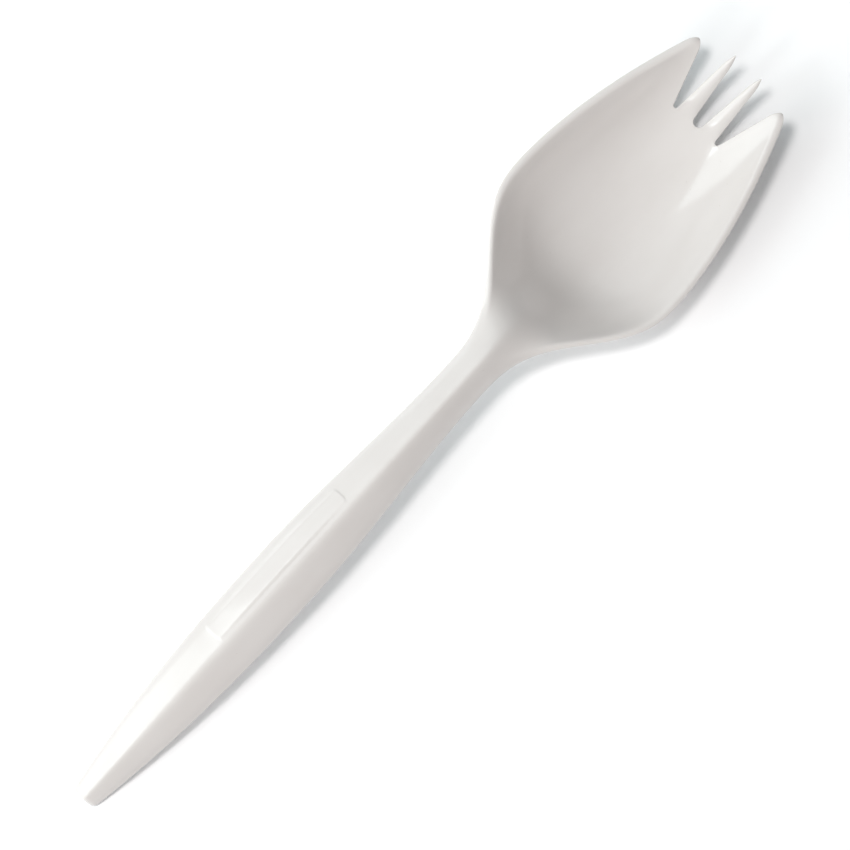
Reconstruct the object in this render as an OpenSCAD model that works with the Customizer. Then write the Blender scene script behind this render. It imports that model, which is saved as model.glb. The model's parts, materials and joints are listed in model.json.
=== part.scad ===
// Disposable spork: a spoon's bowl whose front is cut into four tines, on a ridged, hollow handle.
// It is one injection moulding, drawn as the regions that a person would name, which meet face to face.
// X runs along the spork towards the tines, Y across it and Z up from the table that it lies on.
// The origin is on the table, under the middle of the spork's length and width.

/* [Wall] */
// Thickness of the moulded wall
wall = 1.1; // [0.8:0.05:1.4]
// Radius that breaks the upper outer edge all round
edge_r = 0.3; // [0.15:0.05:0.45]

/* [Handle] */
// Length of the handle, from its end to the start of the neck
handle_len = 68; // [58:1:84]
// Width of the handle's end
handle_end_w = 3.9; // [3:0.1:5.5]
// Radius of the corners of the handle's end, seen from above
handle_corner_r = 0.8; // [0.4:0.1:1.2]
// Width of the grip where it is widest
grip_w = 10.2; // [8:0.1:13]
// Distance from the handle's end to the widest place of the grip
grip_x = 42; // [34:1:48]
// Length of the grip that stays at its full width
grip_straight_len = 4; // [2:0.5:6]

/* [Panel] */
// Distance from the handle's end to the raised panel on the left facet
panel_x = 31; // [24:1:36]
// Length of the raised panel
panel_len = 28.3; // [18:0.1:30]
// Distance of the panel from the crest of the ridge
panel_gap = 0.75; // [0.5:0.05:1.2]
// Height of the panel above its facet
panel_h = 0.14; // [0.05:0.01:0.3]
// Width of the slope round the panel
panel_slope_w = 0.3; // [0.2:0.05:0.5]
// Radius of the panel's corners
panel_corner_r = 0.75; // [0.4:0.05:1]
// Rise of the panel's middle above its ends
panel_crown = 0.2; // [0.05:0.01:0.3]
// Length over which the panel rises from each of its ends
panel_rise_len = 9; // [6:0.5:12]

/* [Neck] */
// Length of the neck, from the handle to the back of the bowl
neck_len = 24; // [19:1:30]
// Width of the neck at its waist
neck_w = 6.75; // [5.5:0.05:8]
// Distance from the neck's start to its waist
waist_in = 16; // [12:1:17]
// Height of the neck's lower edge above the table
neck_lift = 9; // [6:0.1:11]

/* [Bowl] */
// Length of the bowl, from the neck to the roots of the notches
bowl_len = 42.5; // [38:0.5:50]
// Width of the bowl where it is widest
bowl_w = 31.8; // [28:0.1:36]
// Distance from the back of the bowl to its widest place
bowl_wide_in = 21.5; // [19:0.5:25]
// Depth of the bowl below its rim
bowl_depth = 7.6; // [6:0.1:9]
// Length over which the back of the bowl falls to its floor
back_fall_len = 19; // [15:0.5:21]
// Length of the level floor before the front rises
floor_len = 3; // [1:0.5:6]
// Width of the flat lip on the rim
lip_w = 1.1; // [0.7:0.05:1.4]
// Height of the upright outer side of the rim
rim_h = 0.9; // [0.7:0.05:1.3]
// Depth to which the underside of the bowl is flattened, so that it rests
rest_flat = 0.25; // [0.1:0.05:0.35]

/* [Tines] */
// Length of the inner tines from the roots of the notches
inner_tine_len = 11.5; // [8:0.1:14]
// Length of the outer tines from the roots of the notches
outer_tine_len = 9.8; // [7:0.1:12]
// Distance from the middle to the notches beside the outer tines
notch_y = 4.1; // [3.6:0.1:4.8]
// Half width of the middle notch at its rounded root
middle_notch_r = 0.75; // [0.5:0.05:0.9]
// Half width of the side notches at their rounded roots
side_notch_r = 0.3; // [0.2:0.05:0.4]
// Gap between the tips of the inner tines
tip_gap = 4.3; // [3.4:0.1:4.8]
// Width of an inner tine near its tip
inner_tip_w = 0.8; // [0.6:0.05:1.1]
// Width of an outer tine near its tip
outer_tip_w = 1.5; // [1:0.1:2]
// Length of the pointed nose of an inner tine
inner_nose_len = 2.2; // [1.5:0.1:3]
// Length of the rounded nose of an outer tine
outer_nose_len = 1.3; // [0.8:0.1:2]
// Thickness of the tines at their tips
tip_thick = 0.85; // [0.6:0.05:1.1]
// Width of the whole outline at the tips of the inner tines
front_w = 16.7; // [15:0.1:19]
// Rise of the rim from the middle of the bowl to the tips
tip_rise = 1.6; // [0.5:0.1:3]

/* [Hidden] */

// Places along X, from the handle's end
neck_x = handle_len;
waist_x = neck_x + waist_in;
bowl_x = neck_x + neck_len;
wide_x = bowl_x + bowl_wide_in;
floor_x = bowl_x + back_fall_len;
rise_x = floor_x + floor_len;
root_x = bowl_x + bowl_len;
tip_x = root_x + inner_tine_len;
panel_end_x = panel_x + panel_len;

// Shapes of the curves, as powers
handle_taper_power = 2.2;
shoulder_power = 1.07;
front_power = 1.7;
bowl_power = 2.7;
fall_power = 1.25;
rise_power = 2.6;
inner_nose_power = 0.6;
outer_nose_power = 0.5;

// Height of the ridge on the handle and at the neck's waist, as a share of the half width that it spans
ridge_share = 0.56;
waist_ridge_share = 0.8;
// Softness of the ridge's crest, as a share of the same half width
crest_share = 0.2;
// Widest that the edge strip beside the ridge gets, as a share of the half width
strip_share = 0.25;
// Drop of a tine's upper edges below its crest, as a share of its thickness
tine_crown_share = 0.35;
// Width and thickness that are left at the very end of a nose, as a share
nose_end_share = 0.25;

// Half of the reach over which a slope is measured, as a share of the wall
slope_reach_share = 0.1;

// How far before the bowl's back the ridge starts to fade and how far behind it has gone, as shares of
// the length of the back's fall
fade_start_share = 0.24;
fade_end_share = 0.7;

// Places of the points across the lip, from its inner to its outer edge
lip_shares = [0, 0.65, 1];
// Places of the stations round a corner of the handle's end
corner_shares = [0, 0.08, 0.3, 0.6, 1];
// Places of the stations in an end of the panel, after its first
panel_shares = [0.15, 0.3, 0.5, 0.72, 1];
// Places of the stations in the rounded root of a notch
root_shares = [0, 0.12, 0.45, 1];
// Places of the stations in the nose of a tine
nose_shares = [0, 0.35, 0.65, 0.85, 0.96, 1];

// Steps across an inner tine, and across the rest of the bowl's inside
tine_steps = 4;
side_steps = 8;
lip_steps = len(lip_shares) - 1;
half_steps = tine_steps + side_steps + lip_steps;

// Stations along each region
handle_end_steps = 15;
panel_station_steps = 12;
handle_top_steps = 5;
neck_station_steps = 14;
bowl_station_steps = 36;
tine_station_steps = 6;

function mix(a, b, t) = a + (b - a) * t;
function clamp(t) = min(max(t, 0), 1);
// Share of the way from a to b at x
function way(a, b, x) = clamp((x - a) / (b - a));
// Smooth step from 0 to 1, and a softer one whose curvature is smooth too
function ease(t) = t * t * (3 - 2 * t);
function soft(t) = t * t * t * (10 - 15 * t + 6 * t * t);
// Places from a to b in equal steps, without a itself
function steps(a, b, count) = [for (i = [1:count]) mix(a, b, i / count)];

// Half width of the whole outline at x, before the handle's corners are rounded
function outline(x) =
    x < grip_x ? mix(grip_w, handle_end_w, pow(1 - x / grip_x, handle_taper_power)) / 2
    : x < waist_x ? mix(grip_w, neck_w, ease(way(grip_x + grip_straight_len, waist_x, x))) / 2
    : x < wide_x ? mix(neck_w, bowl_w, soft(pow(way(waist_x, wide_x, x), shoulder_power))) / 2
    : mix(bowl_w, front_w, pow(way(wide_x, tip_x, x), front_power)) / 2;

// What a round corner of radius r leaves open at x, from where the corner starts
function corner_gap(r, x) = x < r ? r - sqrt(r * r - (r - x) * (r - x)) : 0;
function half_width(x) = outline(x) - corner_gap(handle_corner_r, x);

// 0 on the ridged handle and 1 in the bowl
function bowl_shape(x) =
    ease(way(bowl_x - fade_start_share * back_fall_len, bowl_x + fade_end_share * back_fall_len, x));

// Width of the strip between the outer edge and the part of the section that is ridged or hollow
function strip(x) = min(lip_w, strip_share * half_width(x));
function inner_width(x) = half_width(x) - strip(x);

// Height of the ridge over the strip, and depth of the hollow that lies under the strip
function ridge(x) =
    mix(ridge_share, waist_ridge_share, ease(way(grip_x + grip_straight_len, waist_x, x)))
    * inner_width(min(x, waist_x)) * (1 - bowl_shape(x));
function hollow(x) =
    let(fall = soft(1 - pow(1 - way(bowl_x, floor_x, x), fall_power)))
    bowl_depth * (fall - pow(way(rise_x, tip_x, x), rise_power));

// Section of the ridge, with its soft crest, and of the hollow, from 1 at the middle to 0 at the strip.
// The power is 1 on the handle and rises in the bowl, so that the ridge stays as narrow as it was.
function roof(t, power) =
    let(c = crest_share, e = sqrt(1 + c * c)) pow(max(0, 1 - (sqrt(t * t + c * c) - c) / (e - c)), power);
function dish(t) = 1 - pow(t, bowl_power);
function roof_power(x) = inner_width(max(x, bowl_x)) / inner_width(bowl_x);

// Fall of the strip from its inner to its outer edge, which follows the facets of the ridge
function strip_fall(x) =
    let(c = crest_share, e = sqrt(1 + c * c)) ridge(x) * strip(x) / inner_width(x) / (e * (e - c));

// Height of the side, and of its lower edge over the table
function side_h(x) = mix(wall + strip_fall(x), rim_h, bowl_shape(x));
rim_z = bowl_depth + wall - rest_flat;
function edge_z(x) =
    neck_lift * sin(90 * way(0, waist_x, x))
    + (rim_z - rim_h - neck_lift) * ease(way(waist_x, wide_x, x))
    + tip_rise * pow(way(wide_x, tip_x, x), 2);
function strip_z(x) = edge_z(x) + side_h(x);

// Height of the middle of the upper surface
function middle_z(x) = strip_z(x) + ridge(x) - hollow(x);
// Upright thickness of the wall in the middle, so that a steep wall is as thick as a level one
function upright_wall(x) =
    let(d = slope_reach_share * wall, rise = (middle_z(x + d) - middle_z(x - d)) / (2 * d))
    wall * sqrt(1 + rise * rise);

// Depth of the hollow that the underside follows, measured from the lower edge
function under_hollow(x) = hollow(x) + upright_wall(x) + strip_fall(x) - side_h(x);

// One station, with all that its heights need: place, half width, inner width, height of the strip,
// ridge, hollow, height of the lower edge, fall of the strip, hollow of the underside, and roof's power
function station(x) = [
    x, half_width(x), inner_width(x), strip_z(x), ridge(x), hollow(x),
    edge_z(x), strip_fall(x), under_hollow(x), roof_power(x),
];

// Height of the upper surface at y
function top_z(s, y) =
    let(a = abs(y), u = clamp(a / s[2]), t = way(s[2], s[1], a))
    s[3] + s[4] * roof(u, s[9]) - s[5] * dish(u) - s[7] * t - edge_r * (1 - sqrt(1 - t * t));
// Height of the underside at y, flattened where it rests
function under_z(s, y) =
    let(u = clamp(abs(y) / s[1])) max(0, s[6] + (s[4] + s[7]) * roof(u, s[9]) - s[8] * dish(u));

// Distance from the middle of the point that lies i steps away from it
inner_at_root = inner_width(root_x);
function step_share(i) =
    let(notch_share = notch_y / inner_at_root)
    i <= tine_steps ? notch_share * i / tine_steps : mix(notch_share, 1, (i - tine_steps) / side_steps);
function across(s, i) =
    let(a = abs(i), lip_i = a - tine_steps - side_steps)
    sign(i) * (lip_i <= 0 ? s[2] * step_share(a) : mix(s[2], s[1], lip_shares[lip_i]));

// How far a place lies inside the outline of the panel, whose corners are round
function panel_depth(s, y) =
    let(r = panel_corner_r, dx = min(s[0] - panel_x, panel_end_x - s[0]), dy = min(y - panel_gap, s[2] - y))
    dx < r && dy < r ? r - norm([r - dx, r - dy]) : min(dx, dy);
// Height of the raised panel, whose middle stands higher than its ends
function panel_z(s, y) =
    let(from_end = min(s[0] - panel_x, panel_end_x - s[0]))
    ease(clamp(panel_depth(s, y) / panel_slope_w))
    * (panel_h + panel_crown * soft(way(0, panel_rise_len, from_end)));

// Points along one row of the upper surface and of the underside
function row(s, height) =
    [for (i = [-half_steps:half_steps]) let(y = across(s, i)) [s[0], y, height(s, y)]];
function top_row(s) = row(s, function (s, y) top_z(s, y) + panel_z(s, y));
function under_row(s) = row(s, function (s, y) under_z(s, y));

// Closed solid between rows of upper points and rows of lower points, one pair of rows for each station
module moulded(top, under) {
    m = len(top);
    n = len(top[0]);
    low = m * n;
    points = concat([for (row = top) each row], [for (row = under) each row]);
    upper = [for (k = [0:m - 2], j = [0:n - 2]) let(p = k * n + j)
        each [[p, p + 1, p + n + 1], [p, p + n + 1, p + n]]];
    lower = [for (f = upper) [f[0] + low, f[2] + low, f[1] + low]];
    right_side = [for (k = [0:m - 2]) let(p = k * n)
        each [[p + low, p, p + n], [p + low, p + n, p + n + low]]];
    left_side = [for (f = right_side) [f[0] + n - 1, f[2] + n - 1, f[1] + n - 1]];
    front = [for (j = [0:n - 2]) let(p = (m - 1) * n + j)
        each [[p + low, p, p + 1], [p + low, p + 1, p + 1 + low]]];
    back = [for (f = front) [f[0] - (m - 1) * n, f[2] - (m - 1) * n, f[1] - (m - 1) * n]];
    translate([-tip_x / 2, 0, 0])
        polyhedron(points, concat(upper, lower, right_side, left_side, front, back));
}

// Region of the moulding with a station at each of the given places
module region(places) {
    stations = [for (x = places) station(x)];
    moulded([for (s = stations) top_row(s)], [for (s = stations) under_row(s)]);
}

// Handle with its rounded end corners and the raised panel on its left facet
module handle() {
    border = panel_slope_w + panel_corner_r;
    color("whitesmoke") region(concat(
        handle_corner_r * corner_shares,
        steps(handle_corner_r, panel_x, handle_end_steps),
        [for (t = panel_shares) panel_x + t * border],
        steps(panel_x + border, panel_end_x - border, panel_station_steps),
        [for (i = [2:len(panel_shares)]) panel_end_x - panel_shares[len(panel_shares) - i] * border],
        [panel_end_x],
        steps(panel_end_x, neck_x, handle_top_steps)
    ));
}

module neck() {
    color("whitesmoke") region(concat([neck_x], steps(neck_x, bowl_x, neck_station_steps)));
}

module bowl() {
    color("whitesmoke") region(concat([bowl_x], steps(bowl_x, root_x, bowl_station_steps)));
}

// Sideways reach of a notch's round root at distance d from the root
function root_gap(r, d) = r - corner_gap(r, d);
// Share of a tine's width that its nose leaves at distance d from the root. Each tine is given by its
// length, its nose's length and the power of the nose's curve.
function nose(tine, d) =
    let(t = way(tine[0] - tine[1], tine[0], d)) max(nose_end_share, pow(1 - t * t, tine[2]));
// Share by which a tine has taken its own shape at distance d from the root
function own_shape(d) = ease(way(0, inner_nose_len, d));

// Distances from the root at which a tine has a station
function tine_places(r, tine) =
    let(nose_start = tine[0] - tine[1])
    concat(
        r * root_shares,
        steps(r, nose_start, tine_station_steps),
        [for (t = nose_shares) if (t > 0) nose_start + t * tine[1]]
    );

// Edges of an inner tine and of an outer tine on the left side, as [nearer the middle, farther]
function inner_edges(d) =
    let(t = d / inner_tine_len, tip_y = tip_gap / 2)
    [mix(0, tip_y - middle_notch_r, t) + root_gap(middle_notch_r, d),
     mix(notch_y, tip_y + inner_tip_w + side_notch_r, t) - root_gap(side_notch_r, d)];
function outer_edges(d) =
    let(t = d / outer_tine_len, tip_y = outline(root_x + outer_tine_len) - outer_tip_w)
    [mix(notch_y, tip_y - side_notch_r, t) + root_gap(side_notch_r, d), outline(root_x + d)];

// Points across a tine, in equal steps, and with the lip's own steps on an outer tine
function tine_across(edges, lip) =
    let(steps_in = lip > 0 ? side_steps : tine_steps, inner = edges[1] - lip)
    concat([for (j = [0:steps_in]) mix(edges[0], inner, j / steps_in)],
        [for (j = [1:lip_steps]) if (lip > 0) mix(inner, edges[1], lip_shares[j])]);

// One tine on the left side: its upper or its lower row of points, with its nose and its crown
function tine_row(d, edges, tine, lip, crown, upper) =
    let(s = station(root_x + d), keep = nose(tine, d), middle = (edges[0] + edges[1]) / 2,
        half = (edges[1] - edges[0]) / 2 * keep, drawn = [middle - half, middle + half],
        thick = mix(1, tip_thick / wall, d / tine[0]) * keep)
    [for (y = tine_across(drawn, min(lip, half / 2)))
        let(e = (y - middle) / half, t = top_z(s, y), u = under_z(s, y), centre = (t + u) / 2,
            rounding = 1 - 2 * crown * own_shape(d) * e * e,
            z = centre + (t - u) / 2 * thick * (upper ? rounding : -1))
        [s[0], y, z]];

// Tine on the left side from its distances and the rule for its edges
module tine(places, edge_pairs, tine, lip, crown) {
    last = len(places) - 1;
    moulded(
        [for (k = [0:last]) tine_row(places[k], edge_pairs[k], tine, lip, crown, true)],
        [for (k = [0:last]) tine_row(places[k], edge_pairs[k], tine, lip, crown, false)]
    );
}

module left_inner_tine() {
    shape = [inner_tine_len, inner_nose_len, inner_nose_power];
    places = tine_places(middle_notch_r, shape);
    color("whitesmoke") tine(places, [for (d = places) inner_edges(d)], shape, 0, tine_crown_share);
}

module left_outer_tine() {
    shape = [outer_tine_len, outer_nose_len, outer_nose_power];
    places = tine_places(side_notch_r, shape);
    color("whitesmoke") tine(places, [for (d = places) outer_edges(d)], shape, lip_w, 0);
}

module right_inner_tine() {
    mirror([0, 1, 0]) left_inner_tine();
}

module right_outer_tine() {
    mirror([0, 1, 0]) left_outer_tine();
}

handle();
neck();
bowl();
left_outer_tine();
left_inner_tine();
right_inner_tine();
right_outer_tine();
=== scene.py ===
"""Looks of a white moulded spork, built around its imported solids.

The moulding is one smooth shell. Its cage is read from the solids of its seven regions, its edges are
broken, it is smoothed, and each region then takes its own share of it, so that neither shape nor shading
has a seam.
"""

import json
import logging
import math
from dataclasses import dataclass, field
from enum import Enum
from typing import Any, ClassVar, Union

import bmesh
import bpy
from mathutils import Euler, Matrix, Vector


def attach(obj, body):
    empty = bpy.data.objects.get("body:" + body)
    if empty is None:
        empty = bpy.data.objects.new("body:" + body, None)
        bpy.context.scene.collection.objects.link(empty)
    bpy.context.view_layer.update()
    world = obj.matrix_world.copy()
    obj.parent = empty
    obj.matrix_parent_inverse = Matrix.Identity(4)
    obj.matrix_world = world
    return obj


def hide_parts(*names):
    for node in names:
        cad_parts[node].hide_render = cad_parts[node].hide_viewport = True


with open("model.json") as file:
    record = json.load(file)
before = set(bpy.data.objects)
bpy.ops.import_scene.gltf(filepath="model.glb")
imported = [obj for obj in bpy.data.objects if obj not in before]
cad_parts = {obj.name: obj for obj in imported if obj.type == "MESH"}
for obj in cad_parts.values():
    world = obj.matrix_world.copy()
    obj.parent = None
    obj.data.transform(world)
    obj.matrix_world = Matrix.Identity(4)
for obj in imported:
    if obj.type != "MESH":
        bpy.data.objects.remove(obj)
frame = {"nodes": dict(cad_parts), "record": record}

MM = 0.001
BODY = "root"

Number = Union[float, int]
Linked = Union[Number, "Value", bpy.types.NodeSocket]
Tint = Union[tuple[float, float, float, float], bpy.types.NodeSocket]
Size = tuple[float, float, float]

log = logging.getLogger("spork")


class Colour(Enum):
    """Colours of the finishes, as linear red, green and blue."""

    PLASTIC = (0.665, 0.638, 0.622)
    PLASTIC_DEEP = (0.622, 0.591, 0.572)
    SPECK = (0.42, 0.37, 0.33)
    TABLE = (0.96, 0.97, 0.98)
    TABLE_SHADE = (0.95, 0.96, 0.97)
    KEY = (0.89, 0.99, 1.0)
    FILL = (1.0, 0.965, 0.95)
    ROOM = (0.92, 0.98, 1.0)

    @property
    def rgba(self) -> tuple[float, float, float, float]:
        """The colour with full alpha."""
        return (*self.value, 1.0)


class Value:
    """A number that varies over a surface: a shader's socket, with the operators that the finishes use."""

    def __init__(self, shader: "Shader", socket: bpy.types.NodeSocket) -> None:
        """Wraps a socket.

        Args:
            shader: the shader that the socket belongs to.
            socket: an output socket that carries a number.
        """
        self.shader = shader
        self.socket = socket

    def _math(self, operation: str, *terms: Linked, clamp: bool = False) -> "Value":
        """Adds one Math node.

        Args:
            operation: the Math node's operation.
            terms: its inputs in order.
            clamp: whether the result is held between 0 and 1.

        Returns:
            The node's result.
        """
        node = self.shader.node(
            "ShaderNodeMath", {"operation": operation, "use_clamp": clamp}, dict(enumerate(terms))
        )
        return Value(self.shader, node.outputs[0])

    def __add__(self, other: Linked) -> "Value":
        """Sum."""
        return self._math("ADD", self, other)

    def __radd__(self, other: Number) -> "Value":
        """Sum, with the number first."""
        return self._math("ADD", other, self)

    def __sub__(self, other: Linked) -> "Value":
        """Difference."""
        return self._math("SUBTRACT", self, other)

    def __rsub__(self, other: Number) -> "Value":
        """Difference, with the number first."""
        return self._math("SUBTRACT", other, self)

    def __mul__(self, other: Linked) -> "Value":
        """Product."""
        return self._math("MULTIPLY", self, other)

    def __rmul__(self, other: Number) -> "Value":
        """Product, with the number first."""
        return self._math("MULTIPLY", other, self)

    def clamped(self) -> "Value":
        """The number held between 0 and 1."""
        return self._math("ADD", self, 0.0, clamp=True)

    def above(self, low: float, high: float) -> "Value":
        """Smooth step.

        Args:
            low: where the step starts from 0.
            high: where it reaches 1.

        Returns:
            The step's value.
        """
        node = self.shader.node(
            "ShaderNodeMapRange",
            {"interpolation_type": "SMOOTHSTEP"},
            {"Value": self, "From Min": low, "From Max": high, "To Min": 0.0, "To Max": 1.0},
        )
        return Value(self.shader, node.outputs["Result"])


@dataclass(frozen=True)
class Clouds:
    """Soft noise.

    Args:
        size_mm: size of a cloud along X, Y and Z.
        detail: number of finer layers.
        strength: strength of each finer layer, as a share of the one above.
    """

    size_mm: Size
    detail: float
    strength: float


class Shader:
    """Builds one material from nodes, with patterns placed on Object coordinates in millimetres."""

    def __init__(self, name: str) -> None:
        """Makes an empty material.

        Args:
            name: the material's name.
        """
        self.material = bpy.data.materials.new(name)
        self.material.use_nodes = True
        self.tree = self.material.node_tree
        self.tree.nodes.clear()
        self.place = self.node("ShaderNodeTexCoord").outputs["Object"]

    def node(
        self, kind: str, settings: dict[str, Any] | None = None, inputs: dict[str | int, Any] | None = None
    ) -> bpy.types.Node:
        """Adds a node.

        Args:
            kind: the node's type.
            settings: properties of the node, which are set first.
            inputs: values or links of its input sockets, by name or by place.

        Returns:
            The node.
        """
        node = self.tree.nodes.new(kind)
        for name, setting in (settings or {}).items():
            setattr(node, name, setting)
        for name, given in (inputs or {}).items():
            source = given.socket if isinstance(given, Value) else given
            if isinstance(source, bpy.types.NodeSocket):
                self.tree.links.new(source, node.inputs[name])
            else:
                node.inputs[name].default_value = source
        return node

    def stretched(self, size_mm: Size, turn_deg: float = 0.0) -> bpy.types.NodeSocket:
        """Object coordinates counted in cells of a pattern.

        Args:
            size_mm: size of a cell along X, Y and Z.
            turn_deg: turn of the pattern about Z.

        Returns:
            The socket that carries the coordinates.
        """
        scale = tuple(1 / (size * MM) for size in size_mm)
        turned = self.node(
            "ShaderNodeVectorRotate",
            {"rotation_type": "Z_AXIS"},
            {"Vector": self.place, "Angle": math.radians(turn_deg)},
        )
        mapping = self.node(
            "ShaderNodeMapping",
            {"vector_type": "POINT"},
            {"Vector": turned.outputs["Vector"], "Scale": scale},
        )
        return mapping.outputs["Vector"]

    def noise(self, clouds: Clouds, turn_deg: float = 0.0) -> Value:
        """Adds soft noise.

        Args:
            clouds: the noise's size and layers.
            turn_deg: turn of the pattern about Z.

        Returns:
            The noise, from 0 to 1.
        """
        node = self.node(
            "ShaderNodeTexNoise",
            {"noise_dimensions": "3D"},
            {
                "Vector": self.stretched(clouds.size_mm, turn_deg),
                "Scale": 1.0,
                "Detail": clouds.detail,
                "Roughness": clouds.strength,
            },
        )
        return Value(self, node.outputs["Fac"])

    def specks(self, size_mm: float, core: float, reach: float) -> Value:
        """Adds round specks, one at most in each cell.

        Args:
            size_mm: size of a cell.
            core: radius of a speck's full middle, as a share of the cell.
            reach: radius at which the speck ends, as a share of the cell.

        Returns:
            1 in a speck and 0 outside.
        """
        node = self.node(
            "ShaderNodeTexVoronoi",
            {"voronoi_dimensions": "3D", "feature": "F1"},
            {"Vector": self.stretched((size_mm,) * 3), "Scale": 1.0},
        )
        return 1 - Value(self, node.outputs["Distance"]).above(core, reach)

    def mix(self, share: Value, first: Tint, second: Tint) -> bpy.types.NodeSocket:
        """Mixes two colours.

        Args:
            share: share of the second colour.
            first: colour or socket where the share is 0.
            second: colour or socket where the share is 1.

        Returns:
            The socket that carries the mixed colour.
        """
        node = self.node("ShaderNodeMix", {"data_type": "RGBA"}, {0: share, 6: first, 7: second})
        return node.outputs[2]

    def bump(
        self, height: Value, depth_mm: float, under: bpy.types.NodeSocket | None = None
    ) -> bpy.types.NodeSocket:
        """Raises the surface in its shading.

        Args:
            height: height from 0 to 1.
            depth_mm: real height of 1.
            under: normal of a coarser layer below.

        Returns:
            The socket that carries the normal.
        """
        inputs: dict[str | int, Any] = {"Height": height, "Distance": depth_mm * MM, "Strength": 1.0}
        if under is not None:
            inputs["Normal"] = under
        return self.node("ShaderNodeBump", {}, inputs).outputs["Normal"]

    def finish(self, surface: bpy.types.NodeSocket) -> bpy.types.Material:
        """Connects the surface to the output.

        Args:
            surface: socket of the finished shader.

        Returns:
            The material.
        """
        self.node("ShaderNodeOutputMaterial", {}, {"Surface": surface})
        return self.material


@dataclass(frozen=True)
class WhitePlastic:
    """Warm white polystyrene from a polished mould, faintly clouded, rippled, scratched and specked.

    Args:
        roughness: roughness of the gloss at half cloud and half grain.
        ior: refractive index.
        cloud: clouding of the colour, from cloud_low to cloud_high of the noise.
        cloud_tint: share of the deeper colour that full clouding adds.
        cloud_roughness: change of roughness that full clouding makes.
        flow: ripples that the melt leaves along the spork.
        flow_tint: share of the deeper colour that a full ripple adds.
        flow_depth_mm: height of a ripple.
        grain: texture of the mould's face.
        grain_roughness: change of roughness that full grain makes.
        grain_depth_mm: height of the grain.
        scratch: stretched noise whose peaks, from scratch_low to scratch_high, are scratches.
        scratch_turns_deg: directions of the scratches.
        scratch_roughness: roughness that a scratch adds.
        scratch_depth_mm: depth of a scratch.
        speck_cell_mm: size of the cells that hold one speck at most.
        speck_core: radius of a speck's full middle, as a share of the cell.
        speck_reach: radius at which a speck ends, as a share of the cell.
        speck_tint: share of the speck's own colour in its middle.
    """

    roughness: float = 0.13
    ior: float = 1.5
    cloud: Clouds = Clouds((9.0, 6.0, 6.0), 3.0, 0.5)
    cloud_low: float = 0.3
    cloud_high: float = 0.75
    cloud_tint: float = 0.4
    cloud_roughness: float = 0.04
    flow: Clouds = Clouds((14.0, 1.6, 3.0), 2.0, 0.45)
    flow_tint: float = 0.25
    flow_depth_mm: float = 0.0012
    grain: Clouds = Clouds((0.22, 0.22, 0.22), 2.0, 0.55)
    grain_roughness: float = 0.03
    grain_depth_mm: float = 0.0011
    scratch: Clouds = Clouds((9.0, 0.07, 0.5), 1.0, 0.5)
    scratch_low: float = 0.66
    scratch_high: float = 0.74
    scratch_turns_deg: tuple[float, ...] = (-14.0, 9.0, 63.0)
    scratch_roughness: float = 0.05
    scratch_depth_mm: float = 0.0006
    speck_cell_mm: float = 3.4
    speck_core: float = 0.011
    speck_reach: float = 0.022
    speck_tint: float = 0.6

    def scratches(self, shader: Shader) -> Value:
        """Adds faint scratches in a few directions.

        Args:
            shader: the shader that they are added to.

        Returns:
            1 on a scratch and 0 beside it.
        """
        lines = [
            shader.noise(self.scratch, turn).above(self.scratch_low, self.scratch_high)
            for turn in self.scratch_turns_deg
        ]
        total = lines[0]
        for line in lines[1:]:
            total = total + line
        return total.clamped()

    def material(self) -> bpy.types.Material:
        """Builds the material.

        Returns:
            The material.
        """
        shader = Shader("white_moulded_plastic")
        cloud = shader.noise(self.cloud)
        flow = shader.noise(self.flow)
        grain = shader.noise(self.grain)
        scratch = self.scratches(shader)
        speck = shader.specks(self.speck_cell_mm, self.speck_core, self.speck_reach)
        deeper = cloud.above(self.cloud_low, self.cloud_high) * self.cloud_tint + flow * self.flow_tint
        tint = shader.mix(deeper.clamped(), Colour.PLASTIC.rgba, Colour.PLASTIC_DEEP.rgba)
        colour = shader.mix(speck * self.speck_tint, tint, Colour.SPECK.rgba)
        clouded = self.roughness + (cloud - 0.5) * self.cloud_roughness
        rough = clouded + scratch * self.scratch_roughness + (grain - 0.5) * self.grain_roughness
        waves = shader.bump(flow, self.flow_depth_mm)
        pores = shader.bump(grain, self.grain_depth_mm, waves)
        normal = shader.bump(1 - scratch, self.scratch_depth_mm, pores)
        plastic = shader.node(
            "ShaderNodeBsdfPrincipled",
            {},
            {
                "Base Color": colour,
                "Roughness": rough,
                "IOR": self.ior,
                "Normal": normal,
            },
        )
        return shader.finish(plastic.outputs["BSDF"])


@dataclass(frozen=True)
class PaleTable:
    """Pale matt sweep of a photographer's table, lit a little from below.

    Args:
        roughness: roughness of its faint gloss.
        gloss: strength of the gloss, where 0.5 is that of plain plastic.
        glow: strength of the light from below.
        mottle: change of colour over the table.
        mottle_tint: share of the shade that full mottle adds.
    """

    roughness: float = 0.85
    gloss: float = 0.2
    glow: float = 0.02
    mottle: Clouds = Clouds((60.0, 60.0, 60.0), 2.0, 0.5)
    mottle_tint: float = 0.5

    def material(self) -> bpy.types.Material:
        """Builds the material.

        Returns:
            The material.
        """
        shader = Shader("pale_table")
        mottle = shader.noise(self.mottle)
        colour = shader.mix(mottle * self.mottle_tint, Colour.TABLE.rgba, Colour.TABLE_SHADE.rgba)
        surface = shader.node(
            "ShaderNodeBsdfPrincipled",
            {},
            {
                "Base Color": colour,
                "Roughness": self.roughness,
                "Specular IOR Level": self.gloss,
                "Emission Color": colour,
                "Emission Strength": self.glow,
            },
        )
        return shader.finish(surface.outputs["BSDF"])


@dataclass(frozen=True)
class Point:
    """One place across a station, with the heights of its lower and upper surface, in metres."""

    x: float
    y: float
    low: float
    high: float


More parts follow.
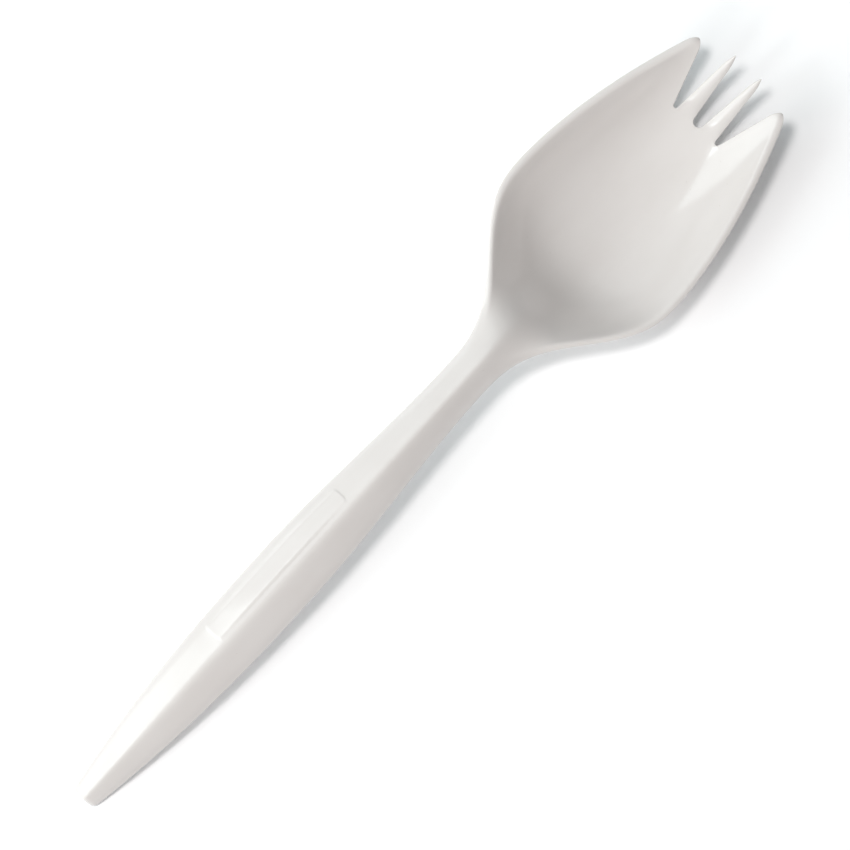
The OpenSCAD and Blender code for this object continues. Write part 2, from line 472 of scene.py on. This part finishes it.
def grouped(places: list[Vector], axis: int, apart: float) -> list[list[Vector]]:
    """Splits places into groups that lie apart along one axis.

    Args:
        places: the places in any order.
        axis: 0 for X, 1 for Y.
        apart: smallest gap between two groups.

    Returns:
        The groups, in order along the axis.
    """
    ordered = sorted(places, key=lambda place: place[axis])
    groups = [[ordered[0]]]
    for place in ordered[1:]:
        if place[axis] - groups[-1][-1][axis] > apart:
            groups.append([])
        groups[-1].append(place)
    return groups


@dataclass
class Region:
    """A region of the moulding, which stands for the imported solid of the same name.

    Args:
        node: name of the solid.
        number: the region's place in the record's list.
    """

    node: str
    number: int
    # Places nearer to each other than this are one
    nearness: ClassVar[float] = 1e-6

    def stations(self) -> list[list[Point]]:
        """Reads the solid's rows of points.

        Returns:
            A list of points across the spork for each station along it.
        """
        places = [vertex.co for vertex in frame["nodes"][self.node].data.vertices]
        return [
            [
                Point(*column[0].xy, min(place.z for place in column), max(place.z for place in column))
                for column in grouped(row, 1, self.nearness)
            ]
            for row in grouped(places, 0, self.nearness)
        ]

    def lay_underside(self, shell: bmesh.types.BMesh) -> None:
        """Adds the region's underside as a grid, which keeps each point's upper height.

        Args:
            shell: the mesh of the whole moulding.
        """
        stations = self.stations()
        along, across = len(stations) - 1, len(stations[0]) - 1
        upper = shell.verts.layers.float["upper"]
        grid = bmesh.ops.create_grid(shell, x_segments=along, y_segments=across, size=1.0)["verts"]
        for vertex in grid:
            station = stations[round((vertex.co.x + 1) / 2 * along)]
            point = station[round((vertex.co.y + 1) / 2 * across)]
            vertex.co = (point.x, point.y, point.low)
            vertex[upper] = point.high
        for face in {face for vertex in grid for face in vertex.link_faces}:
            face.material_index = self.number
            face.smooth = True


@dataclass
class Moulding:
    """The whole spork as one shell: cage, broken edges, smoothing, and the regions' shares.

    Args:
        regions: the regions that it is made of.
        edge_radius: size of the broken edges where the side is full_height high or more.
        full_height: height of the side below which its edges are broken less.
        least_break: smallest share of edge_radius, at the thinnest tips.
        edge_segments: number of faces across a broken edge.
        edge_profile: roundness of a broken edge, where 0.5 is a quarter of a circle.
        smooth_levels: number of times that the mesh is refined.
        weld: distance within which the regions' points are joined.
        pieces: the finished pieces, in the regions' order.
    """

    regions: list[Region]
    edge_radius: float = 0.13 * MM
    full_height: float = 0.9 * MM
    least_break: float = 0.2
    edge_segments: int = 2
    edge_profile: float = 0.5
    smooth_levels: int = 2
    weld: float = 2e-6
    pieces: list[bpy.types.Object] = field(default_factory=list)

    def cage(self) -> bmesh.types.BMesh:
        """Makes the closed cage of the whole moulding.

        Returns:
            A mesh with the undersides welded, pulled up to the upper surfaces.
        """
        shell = bmesh.new()
        upper = shell.verts.layers.float.new("upper")
        for region in self.regions:
            region.lay_underside(shell)
        bmesh.ops.remove_doubles(shell, verts=shell.verts[:], dist=self.weld)
        below = shell.faces[:]
        pulled = bmesh.ops.extrude_face_region(shell, geom=below, use_keep_orig=True)["geom"]
        for vertex in (part for part in pulled if isinstance(part, bmesh.types.BMVert)):
            vertex.co.z = vertex[upper]
        above = {part for part in pulled if isinstance(part, bmesh.types.BMFace)}
        sheets = above | set(below)
        self.mark_edges(shell, sheets)
        bmesh.ops.recalc_face_normals(shell, faces=shell.faces[:])
        return shell

    def mark_edges(self, shell: bmesh.types.BMesh, sheets: set[bmesh.types.BMFace]) -> None:
        """Marks the edges between a surface and the side, and gives each side face its region.

        Args:
            shell: the closed cage.
            sheets: its upper and lower faces.
        """
        weight = shell.edges.layers.float.new("bevel_weight_edge")
        for side in [face for face in shell.faces if face not in sheets]:
            side.smooth = True
            rims = [edge for edge in side.edges if not sheets.isdisjoint(edge.link_faces)]
            height = max(edge.calc_length() for edge in side.edges if edge not in rims)
            for edge in rims:
                edge[weight] = max(self.least_break, min(1.0, height / self.full_height) ** 2)
                sheet = next(face for face in edge.link_faces if face in sheets)
                side.material_index = sheet.material_index

    def smoothed(self, cage: bmesh.types.BMesh) -> bpy.types.Mesh:
        """Breaks the edges and smooths the cage.

        Args:
            cage: the closed cage.

        Returns:
            The smooth mesh, with the regions' numbers as material indices.
        """
        mesh = bpy.data.meshes.new("moulding")
        cage.to_mesh(mesh)
        cage.free()
        whole = bpy.data.objects.new("moulding", mesh)
        bpy.context.scene.collection.objects.link(whole)
        # One empty slot per region, so that the modifiers keep the faces' numbers
        for _ in self.regions:
            mesh.materials.append(None)
        bevel = whole.modifiers.new("broken_edges", "BEVEL")
        bevel.limit_method = "WEIGHT"
        bevel.width = self.edge_radius
        bevel.segments = self.edge_segments
        bevel.profile = self.edge_profile
        bevel.use_clamp_overlap = False
        smooth = whole.modifiers.new("smooth", "SUBSURF")
        smooth.levels = smooth.render_levels = self.smooth_levels
        evaluated = whole.evaluated_get(bpy.context.evaluated_depsgraph_get())
        result = bpy.data.meshes.new_from_object(evaluated)
        bpy.data.objects.remove(whole)
        bpy.data.meshes.remove(mesh)
        return result

    def share(self, whole: bpy.types.Mesh, region: Region) -> bpy.types.Object:
        """Cuts one region out of the smooth mesh and closes it.

        Args:
            whole: the smooth mesh.
            region: the region to cut out.

        Returns:
            The region's piece.
        """
        part = bmesh.new()
        part.from_mesh(whole)
        source = part.verts.layers.int.new("source")
        for vertex in part.verts:
            vertex[source] = vertex.index
        others = [face for face in part.faces if face.material_index != region.number]
        bmesh.ops.delete(part, geom=others, context="FACES")
        rim = [edge for edge in part.edges if edge.is_boundary]
        caps = set(bmesh.ops.holes_fill(part, edges=rim, sides=0)["faces"])
        normals: list[Vector] = []
        for face in part.faces:
            face.material_index = 0
            face.smooth = True
            normals += [
                face.normal.copy() if face in caps else whole.vertices[corner.vert[source]].normal.copy()
                for corner in face.loops
            ]
        part.verts.layers.int.remove(source)
        mesh = bpy.data.meshes.new(region.node)
        part.to_mesh(mesh)
        part.free()
        mesh.normals_split_custom_set(normals)
        piece = bpy.data.objects.new(f"{region.node}_shell", mesh)
        bpy.context.scene.collection.objects.link(piece)
        return piece

    def build(self) -> None:
        """Makes one piece for each region."""
        whole = self.smoothed(self.cage())
        self.pieces = [self.share(whole, region) for region in self.regions]
        bpy.data.meshes.remove(whole)

    def dress(self, finish: WhitePlastic) -> None:
        """Gives each piece its finish and its place in the frame.

        Args:
            finish: the plastic.
        """
        material = finish.material()
        for piece, region in zip(self.pieces, self.regions):
            piece.data.materials.append(material)
            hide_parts(region.node)
            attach(piece, BODY)
            log.info("%s: %d faces", piece.name, len(piece.data.polygons))


@dataclass(frozen=True)
class PhotoCamera:
    """Camera straight above the spork, turned and framed as in the photograph.

    Args:
        frame_px: width and height of the picture.
        middle_px: where the middle of the spork lies in it, from its upper left corner.
        axis_deg: slope of the spork's axis in it, above the horizontal.
        mm_per_px: real length of a pixel at the spork's mean level.
        height: height of the camera above the table.
        mean_level: mean height of the spork's upper surface.
        sensor_mm: width of the sensor.
        nearest: nearest distance that the camera shows.
        farthest: farthest distance that it shows.
    """

    frame_px: float = 850.0
    middle_px: tuple[float, float] = (415.0, 434.3)
    axis_deg: float = 47.73
    mm_per_px: float = 0.1475
    height: float = 1.5
    mean_level: float = 6.5 * MM
    sensor_mm: float = 36.0
    nearest: float = 0.05
    farthest: float = 20.0

    def build(self) -> None:
        """Makes the camera and gives it to the scene."""
        scale = self.mm_per_px * MM
        turn = math.radians(self.axis_deg)
        right = Vector((math.cos(turn), -math.sin(turn), 0.0))
        up = Vector((math.sin(turn), math.cos(turn), 0.0))
        centre_px = self.frame_px / 2
        middle = right * (centre_px - self.middle_px[0]) + up * (self.middle_px[1] - centre_px)
        data = bpy.data.cameras.new("photo_camera")
        data.sensor_width = self.sensor_mm
        data.lens = self.sensor_mm * (self.height - self.mean_level) / (self.frame_px * scale)
        data.clip_start = self.nearest
        data.clip_end = self.farthest
        camera = bpy.data.objects.new("photo_camera", data)
        camera.location = middle * scale + Vector((0.0, 0.0, self.height))
        camera.rotation_euler = Euler((0.0, 0.0, -turn))
        bpy.context.scene.collection.objects.link(camera)
        bpy.context.scene.camera = camera


@dataclass(frozen=True)
class Softbox:
    """One soft light, aimed at the spork.

    Args:
        name: the light's name.
        azimuth_deg: its direction about Z, from +X.
        elevation_deg: its height above the table.
        width: its width, along the table.
        height: its height, across the width.
        watts: its power.
        colour: its colour.
        reflected: whether it shows in the spork's gloss.
        distance: its distance from the origin.
    """

    name: str
    azimuth_deg: float
    elevation_deg: float
    width: float
    height: float
    watts: float
    colour: Colour = Colour.KEY
    reflected: bool = True
    distance: float = 0.9

    def build(self) -> None:
        """Makes the light."""
        azimuth, elevation = math.radians(self.azimuth_deg), math.radians(self.elevation_deg)
        away = Vector(
            (
                math.cos(elevation) * math.cos(azimuth),
                math.cos(elevation) * math.sin(azimuth),
                math.sin(elevation),
            )
        )
        data = bpy.data.lights.new(self.name, "AREA")
        data.shape = "RECTANGLE"
        data.size = self.width
        data.size_y = self.height
        data.energy = self.watts
        data.color = self.colour.value
        light = bpy.data.objects.new(self.name, data)
        light.visible_glossy = self.reflected
        light.location = away * self.distance
        light.rotation_euler = away.to_track_quat("Z", "Y").to_euler()
        bpy.context.scene.collection.objects.link(light)


@dataclass
class Studio:
    """Pale table, soft lights and an even room.

    Args:
        table_size: width and length of the table.
        table_cells: number of faces along each of its sides.
        table_gap: gap below the spork's rest face, which keeps the two faces apart.
        room: strength of the room's light.
        lights: the soft lights.
    """

    table_size: float = 4.0
    table_cells: int = 8
    table_gap: float = 0.01 * MM
    room: float = 0.15
    lights: list[Softbox] = field(
        default_factory=lambda: [
            Softbox("key", 130.0, 26.0, 0.64, 0.80, 4.75),
            Softbox("key_top", 143.0, 47.0, 0.16, 0.07, 0.30),
            Softbox("side_wall", 82.0, 45.0, 0.62, 0.90, 0.70),
            Softbox("overhead", 80.0, 77.0, 0.14, 0.14, 3.40, Colour.FILL, False),
            Softbox("rear_fill", 172.0, 36.0, 0.50, 0.50, 3.85, Colour.FILL, False),
            Softbox("right_fill", 262.0, 36.0, 0.50, 0.50, 1.00, Colour.FILL, False),
            Softbox("low_fill", 285.0, 14.0, 0.60, 0.25, 1.07, Colour.FILL, False),
        ]
    )

    def build(self) -> None:
        """Makes the table, the lights and the room."""
        plane = bmesh.new()
        cells = self.table_cells
        bmesh.ops.create_grid(plane, x_segments=cells, y_segments=cells, size=self.table_size / 2)
        bmesh.ops.translate(plane, verts=plane.verts[:], vec=(0.0, 0.0, -self.table_gap))
        mesh = bpy.data.meshes.new("table_top")
        plane.to_mesh(mesh)
        plane.free()
        mesh.materials.append(PaleTable().material())
        table = bpy.data.objects.new("table_top", mesh)
        bpy.context.scene.collection.objects.link(table)
        for light in self.lights:
            light.build()
        world = bpy.data.worlds.new("room")
        world.use_nodes = True
        background = world.node_tree.nodes["Background"]
        background.inputs["Color"].default_value = Colour.ROOM.rgba
        background.inputs["Strength"].default_value = self.room
        scene = bpy.context.scene
        scene.world = world
        scene.view_settings.view_transform = "Standard"


def main() -> None:
    """Builds the camera, the studio and the spork."""
    logging.basicConfig(level=logging.INFO, format="%(name)s %(message)s")
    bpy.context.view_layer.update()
    PhotoCamera().build()
    Studio().build()
    names = [part["node"] for part in frame["record"]["subparts"]]
    spork = Moulding([Region(name, number) for number, name in enumerate(names)])
    spork.build()
    spork.dress(WhitePlastic())


if __name__ == "__main__":
    main()
